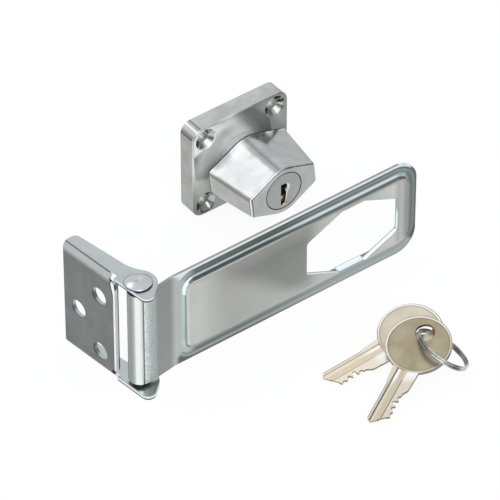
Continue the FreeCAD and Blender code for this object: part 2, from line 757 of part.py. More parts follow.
def footprint(pieces):
    """The move that puts the origin under the middle of everything, at the ground."""
    box = FreeCAD.BoundBox()
    for shape in pieces.values():
        box.add(shape.optimalBoundingBox(False))
    return Vector(-(box.XMin + box.XMax) / 2, -(box.YMin + box.YMax) / 2, -box.ZMin), box


if __name__ == "__main__":
    os.makedirs("parts", exist_ok=True)
    parts = build()
    move, box = footprint(parts)
    for name, shape in parts.items():
        shape.translate(move)
        shape.exportStep("parts/%s.step" % name)
    print("pieces", len(parts), "moved by", move, "size", box.XLength, box.YLength, box.ZLength)
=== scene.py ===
# %% [markdown]
# # A locking hasp
# A steel strap swings on a pin, drops over a keyed knob and is trapped by a quarter turn of it. The
# solid model already gives every piece its true size and place. This lesson gives the pieces soft
# edges, the finishes of plated steel, chrome and nickel silver, and the light of a small studio.

# %% Load the solid model
import json
import math
import bmesh
import bpy
from mathutils import Matrix, Vector

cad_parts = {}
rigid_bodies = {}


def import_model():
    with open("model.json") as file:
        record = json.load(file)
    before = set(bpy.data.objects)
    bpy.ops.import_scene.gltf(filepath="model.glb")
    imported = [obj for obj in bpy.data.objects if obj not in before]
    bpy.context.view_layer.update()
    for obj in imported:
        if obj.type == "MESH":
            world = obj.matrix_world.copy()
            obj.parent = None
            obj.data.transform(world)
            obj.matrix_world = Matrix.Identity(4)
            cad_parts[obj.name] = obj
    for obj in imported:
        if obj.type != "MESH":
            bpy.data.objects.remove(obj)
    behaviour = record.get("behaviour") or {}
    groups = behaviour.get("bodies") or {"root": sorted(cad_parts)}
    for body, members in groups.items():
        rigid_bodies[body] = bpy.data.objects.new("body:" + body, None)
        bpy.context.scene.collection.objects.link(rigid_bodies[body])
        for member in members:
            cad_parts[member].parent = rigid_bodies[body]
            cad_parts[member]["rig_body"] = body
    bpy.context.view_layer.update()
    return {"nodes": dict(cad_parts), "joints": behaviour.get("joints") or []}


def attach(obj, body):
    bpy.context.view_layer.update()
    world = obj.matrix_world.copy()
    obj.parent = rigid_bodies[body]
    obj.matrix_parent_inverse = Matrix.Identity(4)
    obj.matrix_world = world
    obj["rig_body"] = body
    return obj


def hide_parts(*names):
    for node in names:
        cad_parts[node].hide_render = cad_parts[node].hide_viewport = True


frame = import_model()
joints = {joint["name"]: joint for joint in frame["joints"]}
pin = Vector(joints["leaf_hinge"]["pos_m"])
lock = Vector(joints["knob_turn"]["pos_m"])
print("pin axis", tuple(pin), "lock axis", tuple(lock))

# %% Sizes that the finishes follow, in millimetres
MM = 0.001
PANEL_NEAR = 15.8                               # foot of the pressed panel, from the pin's axis
TIP_BORDER, LOW_BORDER, TOP_BORDER = 3.0, 4.9, 2.9
PANEL_CORNER, PANEL_TIP_CORNER = 4.6, 6.4
PLATE_CORNER = 4.2
LEAF_ANGLE = math.radians(96.1)                 # between the strap and the leaf
KNOB_GAP = 3.45                                 # between the plate and the knob
KNOB_TWIST = math.radians(5.74)
KNOB_SIDE, KNOB_TAPER = 5.1, 0.0467             # half height of its upright side, and the loss per mm
BOW_FROM_HOLE = 4.9                             # centre of a key's bow


def box(node):
    """The least and the greatest corner of a node."""
    places = [vertex.co / MM for vertex in frame["nodes"][node].data.vertices]
    return [Vector([pick(place[i] for place in places) for i in range(3)]) for pick in (min, max)]


strap_least, strap_most = box("strap")
plate_least, plate_most = box("lock_plate")
STRAP_LOW, STRAP_HIGH = strap_least.z, strap_most.z
STRAP_TIP = strap_most.x - pin.x / MM
PANEL_TIP = STRAP_TIP - TIP_BORDER
PANEL_LOW, PANEL_HIGH = STRAP_LOW + LOW_BORDER, STRAP_HIGH - TOP_BORDER
LEAF_TOP = box("hinge_leaf")[1].z
KNOB_DEPTH = lock.y / MM - KNOB_GAP - box("knob_body")[0].y
print("strap from", round(STRAP_LOW, 2), "to", round(STRAP_HIGH, 2), "and", round(STRAP_TIP, 2), "long")

# %% Places that they start from, in metres
pin_foot = Vector((pin.x, pin.y, 0.0))
head_foot = Vector((pin.x, pin.y, LEAF_TOP * MM))
knob_rear = lock - Vector((0, KNOB_GAP * MM, 0))
plate_corner = Vector((plate_least.x + PLATE_CORNER, plate_least.y, plate_most.z - PLATE_CORNER)) * MM
print("plate's round corner", tuple(plate_corner), "knob's rear", tuple(knob_rear))

# %% [markdown]
# ## Shader sums
# A finish is mostly arithmetic on textures and on places. It could be wired by hand, node by node, but
# such a net is hard to read. So a small class wraps a socket, and a sum written as Python becomes Math
# nodes. Numbers alone are worked out in Python.


# %% A socket that can be added and multiplied
class Value:
    """One number of a shader, as a socket."""

    def __init__(self, finish, socket):
        self.finish = finish
        self.socket = socket

    def maths(self, operation, *others):
        settings = {"operation": operation}
        return self.finish.node("ShaderNodeMath", settings, {0: self, **dict(enumerate(others, 1))})

    def __add__(self, other):
        return self.maths("ADD", other)

    def __mul__(self, other):
        return self.maths("MULTIPLY", other)

    def __sub__(self, other):
        return self.maths("SUBTRACT", other)

    def __rsub__(self, other):
        return (self * -1.0) + other

    def least(self, other):
        return self.maths("MINIMUM", other)

    def most(self, other):
        return self.maths("MAXIMUM", other)

    def rises(self, low, high):
        """0 below low and 1 above high, with a soft step."""
        settings = {"interpolation_type": "SMOOTHSTEP"}
        inputs = {"Value": self, "From Min": low, "From Max": high}
        return self.finish.node("ShaderNodeMapRange", settings, inputs)

    def falls(self, low, high):
        """1 below low and 0 above high, with a soft step."""
        return 1.0 - self.rises(low, high)

    def band(self, low, high, soft):
        """1 from low to high, with soft edges outside them."""
        return self.rises(low - soft, low) * self.falls(high, high + soft)


def angle_round(across, up, least=0.0):
    """Degrees round an axis, counted up from the least one."""
    angle = up.maths("ARCTAN2", across) * math.degrees(1.0)
    return angle + angle.maths("LESS_THAN", least) * 360.0


def length(first, second):
    return (first * first + second * second).maths("SQRT")


# %% A material that is built from such sums
class Finish:
    """A material built on one Principled shader. A lone number stands for a grey."""

    def __init__(self, name):
        self.material = bpy.data.materials.new(name)
        self.material.use_nodes = True
        self.tree = self.material.node_tree
        self.shader = self.tree.nodes["Principled BSDF"]

    def put(self, socket, value):
        if isinstance(value, Value):
            self.tree.links.new(value.socket, socket)
        elif socket.type == "RGBA":
            colour = value if isinstance(value, tuple) else (value, value, value)
            socket.default_value = (*colour, 1.0)
        else:
            socket.default_value = value

    def node(self, kind, settings=None, inputs=None, output=0):
        made = self.tree.nodes.new(kind)
        for name, value in (settings or {}).items():
            setattr(made, name, value)
        for key, value in (inputs or {}).items():
            self.put(made.inputs[key], value)
        return Value(self, made.outputs[output])

    def surface(self, **inputs):
        for name, value in inputs.items():
            self.put(self.shader.inputs[name.replace("_", " ")], value)

    def place(self, stretch=(1, 1, 1)):
        """Object coordinates in millimetres, stretched."""
        where = self.node("ShaderNodeTexCoord", output="Object")
        scale = tuple(s / MM for s in stretch)
        return self.node("ShaderNodeMapping", None, {"Vector": where, "Scale": scale})

    def measure(self, origin):
        """Distances along X, Y and Z from a point of the model, in millimetres."""
        where = self.node("ShaderNodeTexCoord", output="Object")
        inputs = {"Vector": where, "Location": tuple(-c / MM for c in origin),
                  "Scale": (1 / MM, 1 / MM, 1 / MM)}
        local = self.node("ShaderNodeMapping", None, inputs)
        first = self.node("ShaderNodeSeparateXYZ", None, {"Vector": local}, output="X")
        return first, *(Value(self, first.socket.node.outputs[name]) for name in "YZ")

    def along(self, origin, direction):
        """Distance from a point of the model along a direction, in millimetres."""
        where = self.node("ShaderNodeTexCoord", output="Object")
        local = self.node("ShaderNodeVectorMath", {"operation": "SUBTRACT"}, {0: where, 1: tuple(origin)})
        aim = tuple(c / MM for c in direction)
        return self.node("ShaderNodeVectorMath", {"operation": "DOT_PRODUCT"}, {0: local, 1: aim}, "Value")

    def ramp(self, value, stops):
        """A grey scale. Each stop is a place and the tone there, in order."""
        low, high = stops[0][0], stops[-1][0]
        place = self.node("ShaderNodeMapRange", None, {"Value": value, "From Min": low, "From Max": high})
        made = self.node("ShaderNodeValToRGB", None, {"Fac": place})
        scale = made.socket.node.color_ramp
        for i, (at, tone) in enumerate([stops[0], stops[-1], *stops[1:-1]]):
            share = (at - low) / (high - low)
            stop = scale.elements[i] if i < 2 else scale.elements.new(share)
            stop.position = share
            stop.color = (tone, tone, tone, 1)
        return made

    def times(self, first, second):
        settings = {"data_type": "RGBA", "blend_type": "MULTIPLY"}
        return self.node("ShaderNodeMix", settings, {0: 1.0, 6: first, 7: second}, output=2)

    def blend(self, share, first, second):
        """The first tone where the share is 0, and the second where it is 1."""
        return self.node("ShaderNodeMix", {"data_type": "RGBA"}, {0: share, 6: first, 7: second}, output=2)

    def shade(self, tone, share, factor):
        """The tone as it is where the share is 0, and times the factor where it is 1."""
        return self.times(tone, self.blend(share, 1.0, factor))

    def noise(self, where, scale, detail=3.0, rough=0.5):
        inputs = {"Vector": where, "Scale": scale, "Detail": detail, "Roughness": rough}
        return self.node("ShaderNodeTexNoise", None, inputs, "Fac")

    def bump(self, height, strength, distance, **more):
        inputs = {"Height": height, "Strength": strength, "Distance": distance, **more}
        return self.node("ShaderNodeBump", None, inputs)


print("shader sums ready")

# %% [markdown]
# ## Plated sheet steel
# The strap is rolled sheet with a thin zinc plate. In the photograph its flat is bright near the hinge,
# then crossed by a dark slanting band, and bright again round the opening. Mirrored surroundings could
# give these tones, but they would move with every pose. So the tones are grey scales laid along the
# strap's own length, and mild reflections lie over them.


# %% The tones of the strap's flat
def flat_tone(finish, x, z, waver):
    start = finish.ramp(x + waver * x.rises(14.0, 22.0), [
        (0.0, 0.55), (2.6, 0.5), (4.2, 0.36), (5.2, 0.29), (10.8, 0.3), (12.3, 0.45), (13.2, 0.51),
        (16.0, 0.56), (22.0, 0.57), (28.0, 0.49), (33.0, 0.43), (64.0, 0.5)])
    slant = (x + z * 1.15 + waver).rises(65.0, 79.0)
    slant = slant * (z.rises(8.0, 16.5) * 0.75 + 0.25) * (1.0 - z.rises(30.0, 35.5) * 0.45)
    start = finish.blend(slant, start, 0.275)
    end = finish.ramp(x, [
        (62.8, 0.28), (70.8, 0.5), (76.8, 0.56), (82.8, 0.4), (90.8, 0.44), (96.8, 0.54), (102.3, 0.58),
        (104.7, 0.42), (105.5, 0.48), (106.4, 0.46), (107.1, 0.38), (108.1, 0.3), (109.1, 0.17),
        (112.2, 0.2)])
    return finish.blend(x.rises(63.0, 70.0), start, end)


# %% [markdown]
# ## The pressed panel
# The press gives the panel a rounded foot and rim with painted highlights, a wall between them with
# painted shade, and a border that stays cool, with painted shade of its own. All of them follow the
# panel's outline, a rectangle with round corners. A painted picture could carry them, but a formula
# stays sharp: the shader works out the distance from the outline, and each side of the panel then has
# its own grey scale of that distance.


# %% Distance from the panel's outline
def panel_distance(finish, x, z):
    """Millimetres from the foot of the panel, negative inside it, and weights for its four sides."""
    half_x, half_z = (PANEL_TIP - PANEL_NEAR) / 2, (PANEL_HIGH - PANEL_LOW) / 2
    from_x, from_z = x - (PANEL_NEAR + half_x), z - (PANEL_LOW + half_z)
    to_tip, to_top = from_x.rises(-2.0, 2.0), from_z.rises(-2.0, 2.0)
    corner = to_tip * (PANEL_TIP_CORNER - PANEL_CORNER) + PANEL_CORNER
    over_x = from_x.maths("ABSOLUTE") + corner - half_x
    over_z = from_z.maths("ABSOLUTE") + corner - half_z
    distance = length(over_x.most(0.0), over_z.most(0.0)) + over_x.most(over_z).least(0.0) - corner
    sideways = (over_z - over_x).rises(-1.5, 1.5)
    return distance, sideways, to_tip, to_top


# %% Painted light and shade on the panel's long sides
def top_side_painted_light(finish, x, distance):
    near = finish.ramp(distance, [
        (-2.0, 0.4), (-1.4, 0.6), (-1.08, 0.6), (-0.95, 0.1), (-0.4, 0.08), (-0.25, 0.45), (0.0, 0.76),
        (0.2, 0.5), (0.45, 0.2), (1.6, 0.195), (2.55, 0.15), (2.75, 0.4), (2.9, 0.8), (3.2, 0.85)])
    far = finish.ramp(distance, [
        (-2.0, 0.43), (-1.3, 0.34), (-1.0, 0.25), (-0.85, 0.13), (-0.65, 0.15), (-0.5, 0.5), (-0.3, 0.8),
        (0.0, 0.7), (0.25, 0.34), (0.8, 0.22), (1.5, 0.3), (1.8, 0.28), (2.3, 0.17), (2.6, 0.13),
        (2.75, 0.4), (2.9, 0.8), (3.2, 0.85)])
    return finish.blend(x.rises(48.0, 72.0), near, far)


def low_side_painted_light(finish, x, distance):
    near = finish.ramp(distance, [
        (-3.0, 0.5), (-1.8, 0.45), (-1.2, 0.38), (0.5, 0.3), (1.2, 0.24), (1.9, 0.17), (2.5, 0.17),
        (2.9, 0.33), (3.5, 0.38), (3.9, 0.24), (4.4, 0.13), (4.9, 0.14)])
    far = finish.ramp(distance, [
        (-3.0, 0.5), (-1.2, 0.55), (0.5, 0.5), (1.1, 0.38), (1.8, 0.34), (2.6, 0.38), (3.4, 0.42),
        (4.1, 0.4), (4.6, 0.3), (4.9, 0.28)])
    return finish.blend(x.rises(35.0, 90.0), near, far)


# %% Painted light and shade on its short sides, and all four together
def short_sides_painted_light(finish, to_tip, distance):
    hinge_end = finish.ramp(distance, [
        (-2.0, 0.56), (-1.15, 0.66), (-0.8, 0.56), (-0.64, 0.2), (-0.5, 0.48), (-0.36, 0.66), (0.2, 0.6),
        (0.7, 0.54), (1.6, 0.5), (3.0, 0.5)])
    tip_end = finish.ramp(distance, [
        (-2.0, 0.36), (-1.3, 0.24), (-0.95, 0.2), (-0.7, 0.5), (-0.35, 0.5), (0.0, 0.2), (0.8, 0.17),
        (1.2, 0.2), (1.9, 0.26), (2.3, 0.16), (3.0, 0.12)])
    return finish.blend(to_tip, hinge_end, tip_end)


def panel_sides(finish, tone, x, z):
    """The tone with painted light and shade on the sides, a painted corner highlight, and where cut faces
    lie.
    """
    distance, sideways, to_tip, to_top = panel_distance(finish, x, z)
    # the border's painted shade fades out round the corner by the hinge, and the corner gets a painted
    # highlight
    faded = x.falls(17.0, 22.0) * distance.rises(0.2, 0.5) * distance.falls(2.3, 2.5)
    sideways = sideways * (1.0 - faded)
    corner_shine = distance.band(-0.62, -0.02, 0.12) * z.rises(32.1, 32.8) * x.falls(17.2, 18.2) * to_top
    long_sides = finish.blend(to_top, low_side_painted_light(finish, x, distance), top_side_painted_light(finish, x, distance))
    sides = finish.blend(sideways, short_sides_painted_light(finish, to_tip, distance), long_sides)
    tone = finish.blend(distance.rises(-2.4, -1.7) * x.rises(12.6, 14.4), tone, sides)
    tone = finish.blend(corner_shine, tone, (0.97, 0.99, 0.99))
    low_and_inside = (1.0 - to_top) * distance.falls(-1.3, -1.2)
    return tone, corner_shine, low_and_inside


# %% [markdown]
# ## Cut faces
# The cut faces get painted highlights and painted shade. Both follow the depth in the sheet, so each
# cut face gets a short grey scale of depth.


# %% Painted highlights and shade on the sheared top edge and the faces of the opening
def cut_faces(finish, tone, x, y, z, low_and_inside):
    # a painted highlight on the top edge, which faces up, and painted shade at its back
    top_edge_light = finish.ramp(y, [(-2.7, 0.9), (-2.0, 0.85), (-1.6, 0.4), (-0.6, 0.26)])
    top_edge = z.rises(STRAP_HIGH - 0.12, STRAP_HIGH - 0.02) * x.rises(12.0, 14.0)
    tone = finish.blend(top_edge, tone, top_edge_light)
    # painted highlights and painted shade on the cut faces of the opening
    cut_face_light = finish.ramp(y, [(-4.1, 0.9), (-3.3, 0.95), (-2.8, 0.75), (-2.6, 0.28), (-2.2, 0.2)])
    tone = finish.blend(y.rises(-3.95, -3.75) * x.band(65.0, 105.0, 1.0) * low_and_inside, tone, cut_face_light)
    # a painted highlight on the face at the bottom of the opening, which faces up
    floor = finish.ramp(y, [(-3.9, 0.4), (-3.6, 0.3), (-3.35, 0.45), (-3.1, 0.85), (-1.5, 0.97)])
    opening_floor = z.band(8.6, 9.0, 0.05) * x.band(79.0, 91.5, 0.3) * y.rises(-3.95, -3.85)
    return finish.blend(opening_floor, tone, floor)


# %% [markdown]
# ## The strap's finish
# The tones so far are joined with those of the rolled knuckle, painted reflections that change with the
# angle round the pin. Rolling the sheet leaves fine lines along its length, and the zinc has faint cloudy
# patches. The lines are a noise that is stretched along the strap, in the colour, the roughness and a
# slight bump.


# %% The strap's plated steel
def plated_strap():
    finish = Finish("strap_plated_steel")
    x, y, z = finish.measure(pin_foot)
    fine = finish.noise(finish.place(stretch=(0.035, 1.0, 3.2)), 2.2, 4.0, 0.6)
    cloud = finish.noise(finish.place(stretch=(1, 1, 0.8)), 0.06, 3.0, 0.55)
    flat = flat_tone(finish, x, z, cloud * 8.0 - 4.0)

    # the knuckle's painted reflection stripes by the angle round the pin, painted shade at the seam, and a
    # rough crease where the roll meets the sheet
    turned, radius = angle_round(x, y), length(x, y)
    knuckle_reflection = finish.ramp(turned, [
        (140.0, 0.3), (192.0, 0.31), (201.0, 0.4), (211.0, 0.56), (217.0, 0.9), (236.0, 0.94),
        (243.0, 0.84), (249.0, 0.72), (252.0, 0.6), (255.0, 0.2), (260.0, 0.45), (265.0, 0.72),
        (275.0, 0.6), (286.0, 0.52), (298.0, 0.42), (320.0, 0.36)])
    tone = finish.blend(radius.rises(3.9, 5.0), knuckle_reflection, flat)
    tone, corner_shine, low_and_inside = panel_sides(finish, tone, x, z)
    tone = cut_faces(finish, tone, x, y, z, low_and_inside)
    crease = turned.rises(258.0, 261.0) * radius.falls(5.2, 6.0) * turned.falls(314.0, 325.0)
    speckle = finish.noise(finish.place(), 1.1, 3.0, 0.7).rises(0.3, 0.7)
    rough_roll = finish.times(knuckle_reflection, finish.blend(speckle, (0.8, 0.84, 0.84), (1.16, 1.18, 1.18)))
    tone = finish.blend(crease, tone, rough_roll)

    # a warmer panel in a cooler border, and darker rolling lines
    warm = finish.blend(cloud.rises(0.35, 0.65), (0.93, 1.0, 0.94), (1.0, 1.01, 0.99))
    cool = finish.blend(x.rises(12.5, 16.0), (0.94, 1.0, 0.97), (0.89, 1.0, 1.0))
    raised = (y * -1.0).rises(3.6, 3.95) * x.rises(14.0, 17.0)
    lines = finish.blend(fine.rises(0.3, 0.8) * 0.3, 1.06, (0.7, 0.71, 0.72))
    colour = finish.times(finish.times(tone, finish.blend(raised, cool, warm)), lines)
    finish.surface(Base_Color=colour, Metallic=1.0 - crease.most(corner_shine) * 0.75)
    finish.surface(Roughness=fine * 0.12 + cloud * -0.1 + 0.3)
    finish.surface(Normal=finish.bump(fine, 0.16, 0.00006))
    return finish.material


strap_steel = plated_strap()
print("strap finish has", len(strap_steel.node_tree.nodes), "nodes")

# %% [markdown]
# ## The leaf's finish
# The leaf is the same sheet, but the side that faces the viewer is rougher and painted dark, as painted
# shade, and only its bend, ears and sheared edges catch the light, as painted highlights with painted
# dark lines of shade beside them. The tones are laid out by two distances: how far a point lies from the
# pin along the leaf, and how deep it lies in the sheet.


# %% The leaf's plated steel
def plated_leaf():
    finish = Finish("leaf_plated_steel")
    z = finish.measure(pin_foot)[2]
    depth = finish.along(pin_foot, (-math.sin(LEAF_ANGLE), math.cos(LEAF_ANGLE), 0))
    away = finish.along(pin_foot, (math.cos(LEAF_ANGLE), math.sin(LEAF_ANGLE), 0))
    from_top = z - LEAF_TOP
    cloud = finish.noise(finish.place(), 0.11, 3.0, 0.6)
    grain = finish.noise(finish.place(stretch=(1.0, 0.5, 1.0)), 2.6, 4.0, 0.65)
    # painted shade: the face towards the viewer is painted dark, and the rest lighter
    face = depth.rises(3.3, 3.7) * away.rises(6.9, 7.0)
    dark = finish.blend(cloud.rises(0.3, 0.7), (0.175, 0.2, 0.19), (0.225, 0.235, 0.228))
    light = finish.blend(cloud, (0.48, 0.52, 0.53), (0.54, 0.575, 0.58))
    # a painted highlight on the top bend, fading to dark, and a painted dark line of shade at its crest
    dark = finish.blend(from_top.rises(-4.4, -1.0), dark, (0.6, 0.62, 0.6))
    tone = finish.blend(face, light, dark)
    crest_shade = from_top.band(-0.35, -0.05, 0.12) * depth.rises(2.4, 2.8) * away.rises(9.5, 10.5)
    tone = finish.blend(crest_shade, tone, (0.1, 0.11, 0.11))
    # the ears have painted highlights on their rims, with a painted dark line of shade under each
    ear = away.falls(6.3, 6.7)
    rim_highlight = from_top.band(-1.05, -0.5, 0.15) + z.band(0.65, 1.2, 0.15)
    under_shade = from_top.band(-1.9, -1.2, 0.1) + z.band(-0.1, 0.45, 0.15)
    tone = finish.blend(rim_highlight * ear, tone, (0.9, 0.92, 0.92))
    tone = finish.blend(under_shade * ear, tone, (0.12, 0.13, 0.13))
    # a painted highlight on the sheared edge beside the hinge, with a painted dark line of shade on each
    # side of it
    edge = away - from_top.rises(-9.0, -3.0) * 1.1
    line = edge.band(8.0, 8.3, 0.2) * depth.rises(3.7, 3.9) * from_top.rises(-14.0, -8.0)
    shine = edge.rises(6.4, 6.5) * edge.falls(7.75, 7.95) * depth.rises(2.72, 2.86)
    shadow = away.falls(7.15, 7.3) * away.rises(6.9, 7.0) * depth.falls(2.55, 2.7) * depth.rises(2.2, 2.3)
    tone = finish.blend(line, tone, (0.07, 0.08, 0.08))
    tone = finish.blend(shine, tone, (0.95, 0.97, 0.97))
    tone = finish.blend(shadow, tone, (0.2, 0.22, 0.22))
    finish.surface(Base_Color=finish.blend(grain.rises(0.35, 0.8) * 0.25, tone, 0.12))
    finish.surface(Metallic=1.0 - shine * 0.8, Roughness=grain * 0.14 + face * 0.12 + 0.24)
    finish.surface(Normal=finish.bump(grain, 0.12, 0.00005))
    return finish.material


leaf_steel = plated_leaf()
print("leaf finish has", len(leaf_steel.node_tree.nodes), "nodes")

# %% [markdown]
# ## Bright plate on cast pieces
# The knob and its plate are die castings, buffed and chromed. Buffing leaves a slow waviness that
# bends reflections, and handling leaves faint smears. A finely cut mesh could carry the waviness, but
# a weak, slow bump does it without more faces, and a change of roughness gives the smears.


# %% Buffed metal
class Buffed(Finish):
    """Cloudy, smeared, finely grained and slowly wavy metal."""

    def __init__(self, name, tone, dark):
        super().__init__(name)
        where = self.place()
        self.slow = self.noise(where, 0.09, 2.0, 0.4)
        self.patch = self.noise(where, 0.13, 3.0, 0.5)
        self.smear = self.noise(self.place(stretch=(0.25, 1.0, 1.0)), 0.35, 4.0, 0.6)
        self.grain = self.noise(where, 5.0, 2.0, 0.5)
        tint = self.blend(self.patch.rises(0.36, 0.64), dark, tone)
        self.tint = self.blend(self.smear.rises(0.5, 0.8) * 0.3, tint, tuple(c * 0.7 for c in dark))

    def complete(self, tint, metal, gloss, wave):
        self.surface(Base_Color=tint, Metallic=metal, Roughness=self.smear * 0.16 + gloss)
        waves = self.bump(self.slow, wave, 0.002)
        self.surface(Normal=self.bump(self.grain, 0.05, 0.00005, Normal=waves))
        return self.material


# %% [markdown]
# ## The lock plate's chrome
# The plate's face behind the knob is satin, with less metal, and its colour is paler there: painted light
# that lifts the knob's shade. Painted reflections, a bright streak and a dark one, slant down beside the
# knob, the face has painted shade towards the bottom, and the round corner at the top left shows a
# painted reflection, a white stripe between two dark ones. Each has its own mask or scale.


# %% Chrome on the plate
def plate_finish():
    finish = Buffed("buffed_chrome", (0.52, 0.53, 0.52), (0.42, 0.44, 0.42))
    x, y, z = finish.measure(plate_corner)
    face = y.falls(0.25, 0.5)
    # a painted reflection on the round corner: a white stripe between two dark ones
    corner_reflection = finish.ramp(angle_round(x, z, least=-90.0), [
        (84.0, 1.0), (90.0, 1.0), (96.0, 0.4), (102.0, 0.8), (116.0, 1.15), (144.0, 1.1), (154.0, 0.8),
        (161.0, 0.3), (169.0, 0.34), (177.0, 0.76), (190.0, 0.72), (270.0, 0.74)])
    tint = finish.shade(finish.tint, y.rises(0.35, 0.75), corner_reflection)
    # painted shade towards the bottom of the face
    tint = finish.shade(tint, z.falls(-29.0, -15.0) * face, (0.72, 0.74, 0.7))
    # less metal and a paler tone behind the knob: satin, with painted light that lifts the knob's shade
    satin_and_painted_light = length(x - 16.0, z + 14.6).falls(17.0, 23.0) * face
    painted_light_tone = finish.blend(finish.patch, (0.68, 0.69, 0.67), (0.78, 0.78, 0.76))
    tint = finish.blend(satin_and_painted_light, tint, painted_light_tone)
    # painted reflections, a bright streak and a dark one beside the knob, and painted shade lower down
    reflection_streaks = finish.ramp(x + z * 0.75, [
        (-4.0, 1.25), (3.0, 1.2), (8.0, 1.0), (12.5, 1.3), (14.5, 1.25), (17.5, 0.62), (20.0, 0.4),
        (25.0, 0.32), (28.5, 0.5), (32.0, 0.6)])
    reflection_streaks = finish.blend(z.rises(-18.0, -12.0), 1.0, reflection_streaks)
    reflection_streaks = finish.times(reflection_streaks, finish.blend(z.rises(-26.0, -12.0), (0.62, 0.64, 0.61), 1.0))
    tint = finish.shade(tint, face, reflection_streaks)
    return finish.complete(tint, 1.0 - satin_and_painted_light * 0.75, 0.1, 0.12)


plate_chrome = plate_finish()
print("plate finish has", len(plate_chrome.node_tree.nodes), "nodes")

# %% [markdown]
# ## The knob's chrome
# The knob stands a little off square, so its tones are laid out in its own turned directions. Its left
# slope has a painted highlight as far as the rear, with a band of painted shade below it, a painted dark
# line of shade runs round the rear rim, and a painted dark seam of shade round the plug. The front corner
# of the left side has a painted highlight between two thin painted dark lines.


# %% A painted dark seam of shade, and chrome on the knob
def painted_seam_shade(finish, centre):
    """1 on a thin line round the plug, where shade is painted into the gap between plug and knob."""
    x, _, z = finish.measure(centre)
    radius = length(x, z)
    return radius.rises(7.12, 7.3) * radius.falls(7.45, 7.62)


def knob_finish():
    finish = Buffed("knob_chrome", (0.46, 0.465, 0.46), (0.4, 0.41, 0.405))
    y = finish.measure(knob_rear)[1]
    across = finish.along(knob_rear, (math.cos(KNOB_TWIST), 0, math.sin(KNOB_TWIST)))
    up = finish.along(knob_rear, (-math.sin(KNOB_TWIST), 0, math.cos(KNOB_TWIST)))
    tint = finish.blend(painted_seam_shade(finish, lock), finish.tint, 0.03)

    # painted highlights on the left slope and before the rear rim, painted shade under it and round the rim
    left_slope = up.rises(4.3, 5.0) * across.falls(-3.0, -1.0)
    rear_slope = left_slope * y.rises(-6.0, -3.0) * 0.8
    ledge_shade = (up - y * KNOB_TAPER - KNOB_SIDE).band(-1.5, -0.4, 0.25) * across.falls(-13.3, -13.0)
    tint = finish.shade(tint, left_slope, 1.15)
    tint = finish.shade(tint, y.rises(-1.9, -1.5), 1.3)
    tint = finish.blend(rear_slope, tint, (0.8, 0.81, 0.8))
    tint = finish.blend(ledge_shade * 0.8, tint, (0.2, 0.185, 0.15))
    # a painted dark line of shade round the rear rim
    tint = finish.blend(y.rises(-0.95, -0.85), tint, (0.06, 0.065, 0.065))
    neck = y.rises(0.0, 0.1)
    tint = finish.blend(neck, tint, (0.56, 0.57, 0.56))
    metal = 1.0 - neck.most(rear_slope * y.falls(-1.0, -0.9)) * 0.75

    # a painted highlight on the front corner of the left side, between two painted dark lines of shade
    from_front, left = y + KNOB_DEPTH, across.falls(-13.2, -13.0)
    shine = from_front.band(0.22, 0.6, 0.08) * left
    tint = finish.blend(from_front.band(0.75, 0.95, 0.12) * left, tint, (0.16, 0.17, 0.17))
    tint = finish.blend(shine, tint, (0.97, 0.98, 0.98))
    dark_line = from_front.falls(0.04, 0.12) * across.band(-13.2, -12.95, 0.1)
    tint = finish.blend(dark_line, tint, (0.14, 0.15, 0.15))
    return finish.complete(tint, metal * (1.0 - shine * 0.8), 0.09, 0.12)


knob_chrome = knob_finish()
print("knob finish has", len(knob_chrome.node_tree.nodes), "nodes")

# %% [markdown]
# ## Turned and pressed metals
# The pin's head and the plug's face are turned on a lathe. The plug's lines are rings round the lock's
# axis, and the foot of the head lies in its own shadow. The ring is drawn wire, and the parts inside
# are plain brass and spring steel. All of them could share one finish, but the grain differs in size.


# %% The pin's head and the plug's face
def pin_finish():
    finish = Buffed("pin_nickel", (0.6, 0.62, 0.64), (0.52, 0.535, 0.55))
    z = finish.measure(head_foot)[2]
    tint = finish.blend(z.rises(0.35, 0.75), (0.07, 0.07, 0.075), finish.tint)
    return finish.complete(tint, 1.0, 0.12, 0.1)


def turned_face(name, tone, centre):
    finish = Finish(name)
    x, _, z = finish.measure(centre)
    rings = (length(x, z) * 14.0).maths("SINE")
    cloud = finish.noise(finish.place(), 0.4, 3.0)
    tint = finish.blend(cloud, tone, tuple(c * 0.82 for c in tone))
    # painted shade in the seam round the plug
    tint = finish.blend(painted_seam_shade(finish, centre), tint, 0.03)
    finish.surface(Base_Color=tint, Metallic=1.0, Roughness=cloud * 0.12 + 0.2)
    finish.surface(Normal=finish.bump(rings, 0.08, 0.00002))
    return finish.material


# %% Ring and inner parts
def pressed_metal(name, tone, dark, gloss, grain_size):
    finish = Finish(name)
    grain = finish.noise(finish.place(), grain_size, 3.0, 0.6)
    worn = finish.noise(finish.place(), 0.16, 3.0, 0.55).rises(0.35, 0.7)
    finish.surface(Base_Color=finish.blend(worn, dark, tone), Metallic=1.0)
    finish.surface(Roughness=grain * 0.1 + worn * -0.04 + gloss)
    finish.surface(Normal=finish.bump(grain, 0.12, 0.00004))
    return finish.material


pin_chrome = pin_finish()
plug_metal = turned_face("plug_turned_nickel", (0.4, 0.42, 0.41), lock)
ring_metal = pressed_metal("ring_spring_wire", (0.66, 0.66, 0.64), (0.2, 0.2, 0.2), 0.12, 3.0)
lip_metal = pressed_metal("lip_bright_nickel", (0.78, 0.78, 0.76), (0.6, 0.6, 0.59), 0.12, 4.0)
inner_brass = pressed_metal("inner_brass", (0.76, 0.6, 0.32), (0.6, 0.46, 0.24), 0.3, 5.0)
inner_steel = pressed_metal("inner_spring_steel", (0.5, 0.5, 0.5), (0.38, 0.38, 0.39), 0.3, 5.0)
print("small metals ready")

